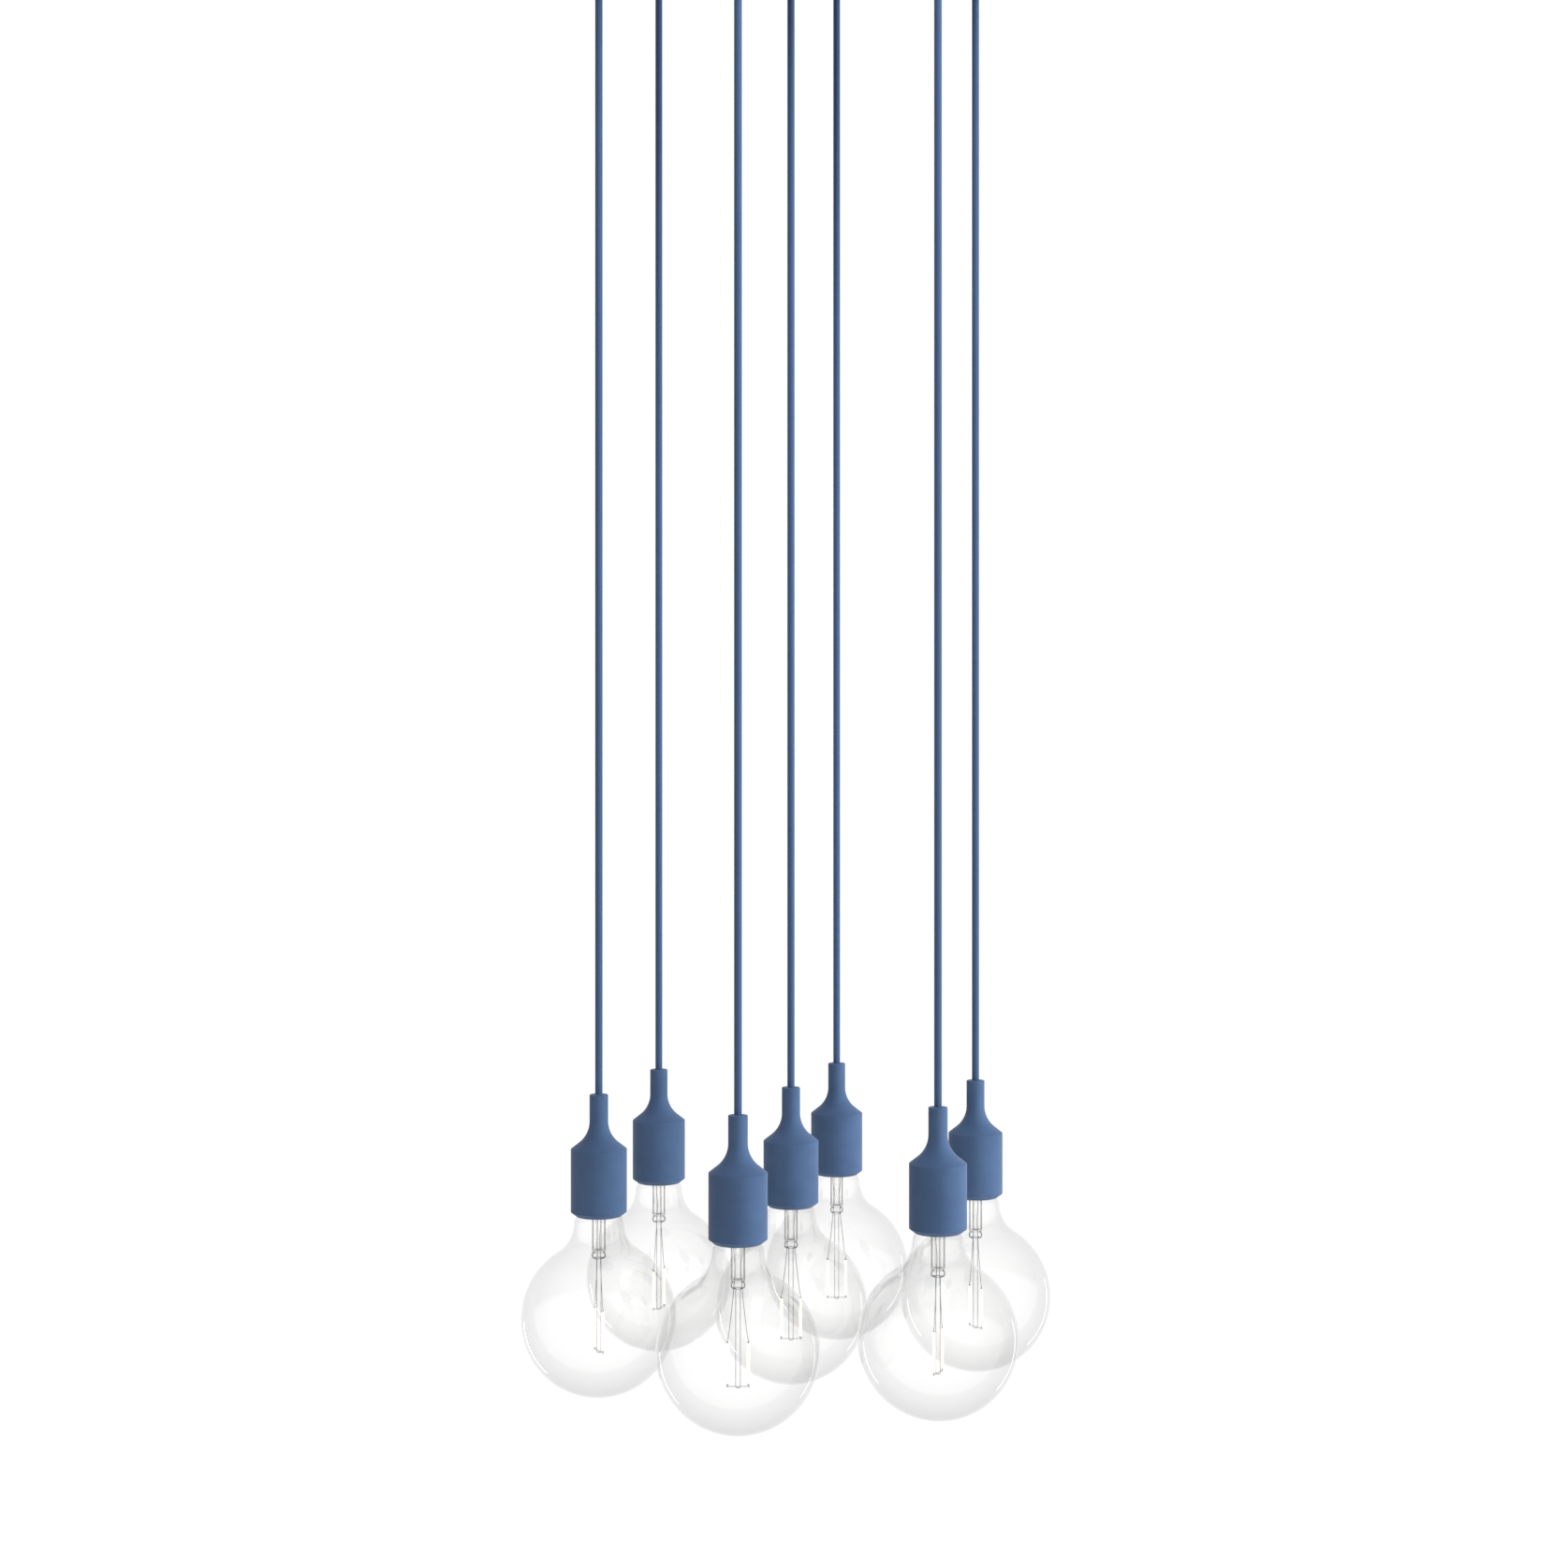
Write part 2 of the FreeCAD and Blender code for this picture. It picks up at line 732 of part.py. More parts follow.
def check_model(nodes):
    for item in doc.Objects:
        if {"Invalid", "Error"} & set(item.State):
            raise RuntimeError(f"{item.Label} is {item.State}")
    for name, node in nodes.items():
        shape = Part.getShape(node)
        if shape.isNull() or not shape.isValid() or not shape.Solids:
            raise RuntimeError(f"{name} has no valid solid")


def print_cords(nodes):
    """Each cord is one straight run, so its volume is its section times its length."""
    radius, run = number("cord_d / 2"), number("cord_run")
    expected = 3.14159265 * radius**2 * (run + 4 * radius / 3)
    for letter in LAMPS:
        volume = Part.getShape(nodes[f"cord_{letter}"]).Volume
        print(f"cord_{letter}: straight, no arcs, volume {volume:.0f} mm3, expected {expected:.0f} mm3")


def write_parts(nodes):
    os.makedirs("parts", exist_ok=True)
    for name, node in nodes.items():
        Part.getShape(node).exportStep(os.path.join("parts", f"{name}.step"))
    print(f"{len(nodes)} parts written")


model = build_model()
check_model(model)
print_cords(model)
write_parts(model)
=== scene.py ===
import math

import bpy
from mathutils import Matrix, Vector


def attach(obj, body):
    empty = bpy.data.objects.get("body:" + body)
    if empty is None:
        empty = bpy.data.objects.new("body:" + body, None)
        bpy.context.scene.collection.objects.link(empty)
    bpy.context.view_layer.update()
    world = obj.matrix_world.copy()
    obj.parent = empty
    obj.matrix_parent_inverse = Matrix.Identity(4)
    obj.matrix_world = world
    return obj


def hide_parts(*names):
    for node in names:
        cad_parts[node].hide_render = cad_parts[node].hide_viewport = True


# Cluster pendant: seven globe lamps on blue cords under one round ceiling canopy.
# Metres. The ceiling is the plane z = 0. A lamp is modelled on the Z axis, at its real height, and
# copied to its place, so the first number of a profile is the distance from the lamp's own axis.

MM = 0.001
PITCH = 0.160  # between neighbouring cords
RING_TURN = 15.3  # degrees
CORD_TOP = -0.055  # the mouths of the cord grips
NECK_TOP = -1.000  # the covers' upper ends
CORD_D = 0.006

# Lamps run from left to right. Degrees: the place on the ring, and how far the bulb is turned.
# The lamp with no place hangs in the centre.
LETTERS = "abcdefg"
RING_PLACE = {"a": 180, "b": 120, "c": 240, "e": 60, "f": 300, "g": 0}
BULB_TURN = {"a": -62, "b": 58, "c": 0, "d": 0, "e": 0, "f": 63, "g": -56}

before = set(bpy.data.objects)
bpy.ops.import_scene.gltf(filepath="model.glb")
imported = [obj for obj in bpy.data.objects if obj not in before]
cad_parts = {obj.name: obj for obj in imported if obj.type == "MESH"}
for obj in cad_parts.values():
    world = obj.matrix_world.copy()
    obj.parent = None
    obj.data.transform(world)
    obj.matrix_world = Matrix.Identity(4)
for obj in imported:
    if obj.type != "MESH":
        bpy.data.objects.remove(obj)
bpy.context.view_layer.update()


def lamp_axis(letter):
    if letter not in RING_PLACE:
        return 0.0, 0.0
    angle = math.radians(RING_TURN + RING_PLACE[letter])
    return PITCH * math.cos(angle), PITCH * math.sin(angle)


# ---- modelling by hand -------------------------------------------------------------------------

SAME_POINT = 2e-6  # points nearer to each other than this are merged


def deselect():
    if bpy.context.mode != "OBJECT":
        bpy.ops.object.mode_set(mode="OBJECT")
    bpy.ops.object.select_all(action="DESELECT")


def select_only(piece):
    deselect()
    bpy.context.view_layer.objects.active = piece
    piece.select_set(True)


def edit_all():
    bpy.ops.object.mode_set(mode="EDIT")
    bpy.ops.mesh.select_all(action="SELECT")


def end_edit():
    """Turns all selected faces outwards and leaves edit mode."""
    bpy.ops.mesh.normals_make_consistent(inside=False)
    bpy.ops.object.mode_set(mode="OBJECT")


def begin_point(name, x, z):
    """A new piece in edit mode that is one selected vertex in the XZ plane."""
    deselect()
    bpy.ops.mesh.primitive_plane_add(size=MM)
    piece = bpy.context.object
    piece.name = name
    edit_all()
    bpy.ops.mesh.merge(type="CENTER")
    bpy.ops.transform.translate(value=(x, 0, z))
    return piece


def begin_cube(name, place):
    """A new piece in edit mode that is a selected cube of one metre."""
    deselect()
    bpy.ops.mesh.primitive_cube_add(size=1, location=place)
    piece = bpy.context.object
    piece.name = name
    edit_all()
    return piece


def extrude(x, z):
    bpy.ops.mesh.extrude_region_move(TRANSFORM_OT_translate={"value": (x, 0, z)})


def arc_centre(start, end, radius, turn):
    """Centre (x, z) of the arc from start to end, to the left of the way there if turn is 1."""
    (x0, z0), (x1, z1) = start, end
    half = math.hypot(x1 - x0, z1 - z0) / 2
    rise = math.sqrt(max(radius**2 - half**2, 0.0)) * turn
    across = ((z0 - z1) / (2 * half), (x1 - x0) / (2 * half))
    return (x0 + x1) / 2 + across[0] * rise, (z0 + z1) / 2 + across[1] * rise


def draw_profile(name, corners, degrees_a_step):
    """Extrudes a vertex from corner to corner. A corner with a radius and a turn starts an arc."""
    piece = begin_point(name, *corners[0][:2])
    for corner, following in zip(corners, corners[1:]):
        (x0, z0), (x1, z1) = corner[:2], following[:2]
        if len(corner) == 2:
            extrude(x1 - x0, z1 - z0)
            continue
        radius, turn = corner[2:]
        cx, cz = arc_centre((x0, z0), (x1, z1), radius, turn)
        swept = math.atan2(z1 - cz, x1 - cx) - math.atan2(z0 - cz, x0 - cx)
        swept = (swept * turn) % math.tau * turn
        steps = max(2, math.ceil(abs(math.degrees(swept)) / degrees_a_step))
        bpy.ops.mesh.spin(steps=steps, angle=swept, center=(cx, 0, cz), axis=(0, 1, 0))
    return piece


def turn_round(piece, steps):
    """Spins the whole profile once round the Z axis and closes it."""
    bpy.ops.mesh.select_all(action="SELECT")
    bpy.ops.mesh.spin(steps=steps, angle=math.tau, center=(0, 0, 0), axis=(0, 0, 1))
    bpy.ops.mesh.select_all(action="SELECT")
    bpy.ops.mesh.remove_doubles(threshold=SAME_POINT)
    end_edit()
    return piece


def turned(name, corners, steps=64, degrees_a_step=6):
    """A closed profile spun into a piece. Its last corner joins its first one."""
    closed = [*corners, corners[0][:2]]
    return turn_round(draw_profile(name, closed, degrees_a_step), steps)


def smooth(piece, angle=40):
    select_only(piece)
    bpy.ops.object.shade_smooth_by_angle(angle=math.radians(angle))


def join(name, pieces):
    deselect()
    for piece in pieces:
        piece.select_set(True)
    bpy.context.view_layer.objects.active = pieces[0]
    bpy.ops.object.join()
    pieces[0].name = name
    return pieces[0]


def copied(piece, name, matrix):
    """A copy with a mesh of its own, moved in its mesh."""
    twin = bpy.data.objects.new(name, piece.data.copy())
    twin.data.transform(matrix)
    bpy.context.scene.collection.objects.link(twin)
    return twin


def discard(piece):
    bpy.data.objects.remove(piece)


def round_line(name, points, radius, side_steps, way_steps):
    """A round line along a smooth way set by the points, as a curve."""
    curve = bpy.data.curves.new(name, "CURVE")
    curve.dimensions = "3D"
    curve.bevel_depth = radius
    curve.bevel_resolution = side_steps
    curve.use_fill_caps = True
    line = curve.splines.new("NURBS")
    line.points.add(len(points) - 1)
    for point, place in zip(line.points, points):
        point.co = (*place, 1)
    line.order_u = 3
    line.use_endpoint_u = True
    line.resolution_u = way_steps
    piece = bpy.data.objects.new(name, curve)
    bpy.context.scene.collection.objects.link(piece)
    return piece


# ---- finishes ----------------------------------------------------------------------------------


class Signal:
    """A shader socket that can be used in sums. Every sum adds a Math node."""

    def __init__(self, finish, socket):
        self.finish = finish
        self.socket = socket

    def output(self, name):
        """Another output of the same node."""
        return Signal(self.finish, self.socket.node.outputs[name])

    def maths(self, operation, other=0.0):
        return self.finish.add("Math", {"operation": operation}, {0: self, 1: other})

    def __add__(self, other):
        return self.maths("ADD", other)

    def __sub__(self, other):
        return self.maths("SUBTRACT", other)

    def __mul__(self, other):
        return self.maths("MULTIPLY", other)

    def __pow__(self, other):
        return self.maths("POWER", other)

    def __rsub__(self, other):
        return self.finish.add("Math", {"operation": "SUBTRACT"}, {0: other, 1: self})

    __radd__ = __add__
    __rmul__ = __mul__


class Finish:
    """A material whose nodes are added one by one."""

    def __init__(self, name):
        self.material = bpy.data.materials.new(name)
        self.material.use_nodes = True
        self.tree = self.material.node_tree
        self.tree.nodes.clear()

    def add(self, kind, settings=None, sockets=None, output=0):
        """A node with its settings, then the values or links of its sockets. Returns one output."""
        node = self.tree.nodes.new("ShaderNode" + kind)
        for word, value in (settings or {}).items():
            setattr(node, word, value)
        for name, value in (sockets or {}).items():
            if isinstance(value, Signal):
                self.tree.links.new(value.socket, node.inputs[name])
            else:
                node.inputs[name].default_value = value
        return Signal(self, node.outputs[output])

    def place(self, scale=None):
        """Object coordinates, scaled by a Mapping node if asked."""
        here = self.add("TexCoord", output="Object")
        if scale is None:
            return here
        return self.add("Mapping", None, {"Vector": here, "Scale": scale})

    def noise(self, scale, detail=2.0, roughness=0.5, where=None):
        sockets = {"Vector": where or self.place(), "Scale": scale, "Detail": detail}
        return self.add("TexNoise", None, {**sockets, "Roughness": roughness})

    def facing(self):
        """From 0 where the surface is seen head on to 1 where it is seen edge on."""
        return self.add("LayerWeight", None, {"Blend": 0.5}, output="Facing")

    def blend(self, factor, first, second):
        """A colour between two colours. A Mix node's colours are its inputs 6 and 7, output 2."""
        return self.add("Mix", {"data_type": "RGBA"}, {0: factor, 6: first, 7: second}, output=2)

    def span(self, value, low, high, to_low=0, to_high=1):
        """Maps low to high onto to_low to to_high, and goes no further at either end."""
        sockets = {0: value, 1: low, 2: high, 3: to_low, 4: to_high}
        return self.add("MapRange", {"clamp": True}, sockets)

    def spread(self, noise, to_low=0, to_high=1):
        """Spans the values that a noise mostly has."""
        return self.span(noise, 0.3, 0.7, to_low, to_high)

    def bump(self, height, distance, strength):
        sockets = {"Height": height, "Distance": distance, "Strength": strength}
        return self.add("Bump", None, sockets)

    def clear(self, colour):
        return self.add("BsdfTransparent", None, {"Color": colour})

    def principled(self, **sockets):
        named = {word.replace("_", " "): value for word, value in sockets.items()}
        return self.add("BsdfPrincipled", None, named)

    def mix_shaders(self, factor, first, second):
        return self.add("MixShader", None, {0: factor, 1: first, 2: second})

    def surface(self, shader):
        output = self.tree.nodes.new("ShaderNodeOutputMaterial")
        self.tree.links.new(shader.socket, output.inputs["Surface"])
        return self.material

    def made_of(self, **sockets):
        return self.surface(self.principled(**sockets))


def paint(red, green, blue):
    """A display colour from 0 to 255 as linear light with full alpha."""
    return (*(linear(channel / 255) for channel in (red, green, blue)), 1.0)


def linear(share):
    return share / 12.92 if share <= 0.04045 else ((share + 0.055) / 1.055) ** 2.4


def grey(tone):
    return (tone, tone, tone, 1)


def blue_silicone():
    """Matte moulded silicone: faint cloudiness, and a grain that only the gloss shows."""
    f = Finish("blue_silicone")
    cloud = f.spread(f.noise(38, 3, 0.55))
    grain = f.noise(2600, 2, 0.6)
    return f.made_of(
        Base_Color=f.blend(cloud, paint(71, 94, 129), paint(77, 102, 138)),
        Roughness=f.span(grain, 0.2, 0.8, 0.52, 0.64),
        Normal=f.bump(grain, 0.00012, 0.35),
        IOR=1.43,
        Specular_IOR_Level=0.32,
        Sheen_Weight=0.05,
        Sheen_Roughness=0.45,
    )


def cord_sheath():
    """Smooth satin sheath with a slight drawn texture along its length."""
    f = Finish("blue_cord_sheath")
    drawn = f.noise(2600, where=f.place(scale=(1, 1, 0.1)))
    cloud = f.spread(f.noise(25))
    return f.made_of(
        Base_Color=f.blend(cloud, paint(69, 92, 127), paint(72, 95, 131)),
        Roughness=f.spread(drawn, 0.42, 0.52),
        Normal=f.bump(drawn, 0.00002, 0.1),
        IOR=1.5,
        Specular_IOR_Level=0.16,
    )


def see_through(f, slant, slant_from, slant_to, head_on, edge_on):
    """A wall that passes the light head on and greys it between two slants."""
    return f.mix_shaders(f.span(slant, slant_from, slant_to), f.clear(head_on), f.clear(edge_on))


def thin_glass(name, outside):
    """A thin clear wall. Its outside mirrors the studio, the more so at a slant."""
    f = Finish(name)
    slant = f.facing()
    through = see_through(f, slant, 0.08, 0.75, (0.996, 0.996, 0.995, 1), grey(0.93))
    if not outside:
        return f.surface(through)
    share = (0.075 + 0.925 * slant**4) * (1 - f.add("NewGeometry", output="Backfacing"))
    wave = f.noise(22, 1, 0.4)
    mirror = f.principled(
        Base_Color=f.blend(wave, grey(0.98), grey(1)),
        Metallic=1.0,
        Roughness=0.0,
        Normal=f.bump(wave, 0.0003, 0.03),
    )
    return f.surface(f.mix_shaders(share, through, mirror))


def stem_glass(name, slant_from, slant_to):
    """Glass drawn as tube or rod: clear, with painted dark edges where it turns edge on, in place
    of the shade its refraction gives.
    """
    f = Finish(name)
    # Painted shade: edge on, the glass passes only dark grey, standing in for refraction at its
    # edges.
    painted_edge_shade = (0.20, 0.20, 0.205, 1)
    through = see_through(f, f.facing(), slant_from, slant_to, grey(0.985), painted_edge_shade)
    drawn = f.noise(300, where=f.place(scale=(1, 1, 0.05)))
    shine = f.principled(
        Base_Color=f.blend(drawn, grey(0.90), grey(0.96)),
        Metallic=1.0,
        Roughness=0.02,
        Normal=f.bump(drawn, 0.00006, 0.2),
    )
    return f.surface(f.mix_shaders(0.05, through, shine))


def phosphor():
    """Yellow silicone over the filament's diodes, with a painted glow: a faint emission, brighter
    over the diodes and warmer where the bar turns edge on.
    """
    f = Finish("filament_phosphor")
    grain = f.noise(1500, 2, 0.6)
    dots = f.add("TexWave", {"bands_direction": "Z"}, {"Vector": f.place(), "Scale": 190.0})
    # Painted glow: the emission's colour, brighter over the diodes, and warmer where the bar turns
    # edge on.
    painted_glow_core = f.blend(f.span(dots, 0.2, 0.9), (1.0, 0.985, 0.93, 1), (1.0, 0.99, 0.96, 1))
    return f.made_of(
        Base_Color=f.blend(grain, paint(240, 205, 120), paint(250, 222, 150)),
        Roughness=0.4,
        Normal=f.bump(grain, 0.00008, 0.4),
        Emission_Color=f.blend(f.span(f.facing(), 0.35, 0.95), painted_glow_core, (1.0, 0.86, 0.58, 1)),
        Emission_Strength=1.12,
    )


def lead_wire():
    """Drawn nickel wire, dulled by the heat of sealing."""
    f = Finish("lead_wire")
    dull = f.noise(700, 3)
    return f.made_of(
        Base_Color=f.blend(dull, paint(118, 116, 112), paint(146, 143, 138)),
        Metallic=0.7,
        Roughness=f.spread(dull, 0.42, 0.58),
    )


def cap_nickel():
    """Nickel plate on the rolled cap, rubbed in patches, with fine rolling lines round it."""
    f = Finish("cap_nickel")
    rub = f.noise(160, 4, 0.6)
    lines = f.noise(1200, where=f.place(scale=(0.08, 0.08, 1)))
    return f.made_of(
        Base_Color=f.blend(rub, paint(176, 172, 164), paint(204, 201, 195)),
        Metallic=1.0,
        Roughness=f.spread(lines, 0.18, 0.34),
        Normal=f.bump(lines, 0.00005, 0.4),
    )


def vitrite():
    """Black glass insulator at the bulb's tip."""
    f = Finish("black_vitrite")
    swirl = f.noise(240, 3)
    return f.made_of(
        Base_Color=f.blend(swirl, paint(22, 20, 24), paint(36, 33, 38)),
        Roughness=f.spread(swirl, 0.10, 0.24),
        IOR=1.6,
    )


def brass():
    """Plain brass sheet, rubbed bright in patches."""
    f = Finish("brass_sheet")
    rub = f.noise(130, 4, 0.6)
    return f.made_of(
        Base_Color=f.blend(rub, paint(176, 138, 76), paint(214, 178, 112)),
        Metallic=1.0,
        Roughness=f.spread(rub, 0.22, 0.42),
    )


def solder():
    """Solder on the bulb's tip, slightly uneven."""
    f = Finish("tip_solder")
    blob = f.noise(420, 3)
    return f.made_of(
        Base_Color=f.blend(blob, paint(150, 150, 152), paint(196, 196, 198)),
        Metallic=1.0,
        Roughness=f.spread(blob, 0.25, 0.5),
        Normal=f.bump(blob, 0.0001, 0.5),
    )


def moulded(f, colour):
    """Moulded insulating plastic with a fine spark-eroded texture."""
    grain = f.noise(1900, 2, 0.6)
    return f.made_of(
        Base_Color=colour,
        Roughness=f.spread(grain, 0.38, 0.5),
        Normal=f.bump(grain, 0.00006, 0.4),
    )


def insulating_plastic(name, dark, light):
    f = Finish(name)
    return moulded(f, f.blend(f.noise(30), dark, light))


def wiring():
    """Pale plastic on the terminal block, blue on the gripped cord ends, told apart by place."""
    f = Finish("terminal_block_and_cord_ends")
    block_from, block_to, block_side = 0.03, 0.10, 0.03
    x = f.add("SeparateXYZ", None, {0: f.place()})
    off_middle = x.output("Y").maths("ABSOLUTE")
    at_block = x.maths("GREATER_THAN", block_from) * x.maths("LESS_THAN", block_to)
    at_block = at_block * off_middle.maths("LESS_THAN", block_side)
    return moulded(f, f.blend(at_block, paint(66, 94, 132), paint(223, 222, 216)))


def powder_coat():
    """Matte blue powder coat with the fine orange peel of baked powder."""
    f = Finish("blue_powder_coat")
    peel = f.noise(900, 3, 0.55)
    cloud = f.noise(9)
    return f.made_of(
        Base_Color=f.blend(cloud, paint(70, 91, 129), paint(78, 100, 140)),
        Roughness=f.spread(peel, 0.42, 0.58),
        Normal=f.bump(peel, 0.00015, 0.5),
    )


def zinc_steel():
    """Bright zinc plate with its faint spangle and rolling lines."""
    f = Finish("zinc_steel")
    spangle = f.add("TexVoronoi", None, {"Vector": f.place(), "Scale": 120.0}, output="Color")
    rolled = f.noise(500, 3, where=f.place(scale=(0.03, 1, 1)))
    return f.made_of(
        Base_Color=f.blend(rolled, paint(158, 162, 166), paint(190, 193, 196)),
        Metallic=1.0,
        Roughness=f.span(spangle, 0.0, 1.0, 0.26, 0.44),
        Normal=f.bump(rolled, 0.00005, 0.4),
    )


FINISHES = {
    "silicone": blue_silicone(),
    "cord": cord_sheath(),
    "glass": thin_glass("clear_blown_glass", outside=True),
    "glass_inside": thin_glass("clear_blown_glass_inside", outside=False),
    "stem": stem_glass("stem_tube_glass", 0.45, 0.85),
    "bead": stem_glass("stem_bead_glass", 0.35, 0.75),
    "rod": stem_glass("stem_rod_glass", 0.25, 0.75),
    "phosphor": phosphor(),
    "lead": lead_wire(),
    "cap": cap_nickel(),
    "vitrite": vitrite(),
    "brass": brass(),
    "solder": solder(),
    "holder": insulating_plastic("holder_plastic", paint(206, 205, 200), paint(220, 219, 214)),
    "grip": insulating_plastic("grip_plastic", paint(68, 88, 126), paint(76, 97, 136)),
    "wiring": wiring(),
    "powder": powder_coat(),
    "zinc": zinc_steel(),
}


def finish_with(piece, *finishes):
    piece.data.materials.clear()
    for word in finishes:
        piece.data.materials.append(FINISHES[word])


# ---- cords -------------------------------------------------------------------------------------


def hang_cord(letter):
    """Straight under its lamp's weight, from the mouth of the grip to the neck of the cover."""
    x, y = lamp_axis(letter)
    end = 6 * CORD_D
    heights = (CORD_TOP, CORD_TOP - end, NECK_TOP + end, NECK_TOP)
    points = [(x, y, height) for height in heights]
    piece = round_line(f"hung_cord_{letter}", points, CORD_D / 2, side_steps=5, way_steps=12)
    finish_with(piece, "cord")
    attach(piece, f"cord_{letter}")
    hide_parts(f"cord_{letter}")


# ---- one lamp, modelled on the Z axis ----------------------------------------------------------
# Profiles are in millimetres: out from the axis, below the neck's top, and for a corner that
# starts an arc its radius and turn.

COVER_R, COVER_NECK_R, COVER_NECK_END = 22.5, 7.5, 21.3
COVER_WALL = 2.3
FLARE_R, CONE_SLOPE = 22, math.radians(52)
COLLAR_TOP, ROD_TOP = 125.9, 131.8
FILAMENT_X = 7.8

# Each side's wires: radius, then points as out from the axis, towards the back and below the neck.
SIDE_WIRES = {
    "lead_in": (
        0.35,
        [(3.4, 0.3, 91.5), (3.3, 0.5, 104), (2.2, -0.4, 115), (2.9, 0, 126), (3.1, 0, 131)],
    ),
    "lead": (
        0.26,
        [
            (3.1, 0, 130.8),
            (3.3, 0, 134),
            (5.2, 0, 152),
            (7.0, 0, 167),
            (7.9, 0, 171.0),
            (8.6, 0, 171.6),
            (8.3, 0, 172.6),
        ],
    ),
    "tick": (0.3, [(8.1, 0, 206.7), (8.3, 0, 206.0), (8.6, 0, 205.0)]),
}
CROSS_WIRE = [(-8.3, 0, 206.0), (-5, 0, 206.0), (5, 0, 206.0), (8.3, 0, 206.0)]
CROSS_R = 0.26


def below_neck(millimetres):
    return NECK_TOP - millimetres * MM


def profile(corners):
    """A profile in millimetres as places in metres."""
    made = []
    for out, below, *arc in corners:
        made.append((out * MM, below_neck(below), *([arc[0] * MM, arc[1]] if arc else [])))
    return made


def bell_side(inset):
    """The cover's flank moved inwards by inset: neck's end, cone, skirt and the flare's radius."""
    flare = FLARE_R + inset
    sine, cosine = math.sin(CONE_SLOPE), math.cos(CONE_SLOPE)
    cone_width = COVER_R - COVER_NECK_R - FLARE_R * (1 - cosine)
    foot = COVER_NECK_END + FLARE_R * sine + cone_width / math.tan(CONE_SLOPE)
    neck = (COVER_NECK_R - inset, COVER_NECK_END)
    cone = (COVER_NECK_R + FLARE_R - flare * cosine, COVER_NECK_END + flare * sine)
    skirt = (COVER_R - inset, foot + inset * math.tan(CONE_SLOPE / 2))
    return neck, cone, skirt, flare


def model_cover():
    """Silicone bell: a slim neck, a flare, a cone and a straight skirt whose rim is turned in."""
    neck, cone, skirt, flare = bell_side(0)
    neck_in, cone_in, skirt_in, flare_in = bell_side(COVER_WALL)
    rounding = 0.35
    cone_way = Vector((skirt[0] - cone[0], skirt[1] - cone[1])).normalized() * rounding
    corners = [
        (3.3, 0.3),
        (3.6, 0),
        (6.7, 0, 0.8, -1),
        (COVER_NECK_R, 0.8),
        (*neck, flare, 1),
        cone,
        (skirt[0] - cone_way.x, skirt[1] - cone_way.y, 0.8, -1),
        (skirt[0], skirt[1] + rounding),
        (COVER_R, 93.7, 0.5, -1),
        (22.25, 94.2),
        (18.3, 97.24, 0.3, -1),
        (18.1, 97.38),
        (17.55, 97.4, 0.15, -1),
        (17.4, 97.25),
        (17.4, 95.64),
        (20.2, 93.48),
        skirt_in,
        (*cone_in, flare_in, -1),
        neck_in,
        (5.2, COVER_WALL),
        (3.3, COVER_WALL),
    ]
    piece = turned("cover", profile(corners), steps=96, degrees_a_step=4)
    smooth(piece)
    finish_with(piece, "silicone")
    return piece


def model_envelope():
    """The globe, its throat and its neck, closed at the top round the stem's mouth."""
    corners = [
        (0, 242, 62.5, 1),
        (33.218, 126.559, 28, -1),
        (20.1, 102.84),
        (20.1, 102.8, 6, 1),
        (14.1, 96.8),
        (14.1, 90.7),
        (11.4, 90.7),
        (11.4, 91.4),
        (13.4, 91.4),
        (13.4, 97.5),
        (14.1, 97.5, 5.3, -1),
        (19.4, 102.8),
        (19.4, 102.84, 28.7, 1),
        (32.846, 127.152, 61.8, -1),
        (0, 241.3),
    ]
    piece = turn_round(draw_profile("envelope", profile(corners), 3), steps=128)
    smooth(piece)
    finish_with(piece, "glass", "glass_inside")
    for face in piece.data.polygons:
        outwards = face.normal.x * face.center.x + face.normal.y * face.center.y
        face.material_index = 0 if outwards > 0 else 1
    return piece


def model_stem():
    """Flared tube with a rounded foot, a collar and a drawn rod, each with its own painted dark
    edge.
    """
    corners = [
        (11.4, 90.7, 6.7, 1),
        (4.7, 97.4),
        (4.7, 123.4, 1.4, -1),
        (3.3, 124.8),
        (0, 125.0),
        (0, 207.2),
        (0.9, 207.2, 1.1, 1),
        (2.0, 206.1),
        (2.0, 131.9, 0.5, -1),
        (2.4, 131.5),
        (3.9, 131.5, 1.6, 1),
        (5.5, 129.9),
        (5.5, 128.3, 1.6, 1),
        (4.5, 126.85, 0.4, -1),
        (4.4, 126.3, 1.6, 1),
        (5.4, 124.5),
        (5.4, 97.4, 6, -1),
        (11.4, 91.4),
    ]
    piece = turned("stem_tube", profile(corners), steps=48, degrees_a_step=10)
    smooth(piece)
    finish_with(piece, "stem", "bead", "rod")
    for face in piece.data.polygons:
        if face.center.z < below_neck(ROD_TOP):
            face.material_index = 2
        elif face.center.z < below_neck(COLLAR_TOP):
            face.material_index = 1
    return piece


def model_exhaust():
    """Thin pumping tube up the middle of the stem, open at both ends."""
    corners = [(2.3, 92.4), (2.3, 124.0), (1.7, 124.0), (1.7, 92.4)]
    piece = turned("exhaust_tube", profile(corners), steps=32)
    smooth(piece)
    finish_with(piece, "stem")
    return piece


def model_filament(side):
    """Round bar of phosphor over its strip."""
    corners = [
        (0, 173.3),
        (0.6, 173.3, 0.55, -1),
        (1.15, 173.9),
        (1.15, 203.3, 0.55, -1),
        (0.6, 203.9),
        (0, 203.9),
    ]
    bar = turn_round(draw_profile("bar", profile(corners), 20), steps=20)
    bar.data.transform(Matrix.Translation((side * FILAMENT_X * MM, 0, 0)))
    smooth(bar, 50)
    finish_with(bar, "phosphor")
    return bar


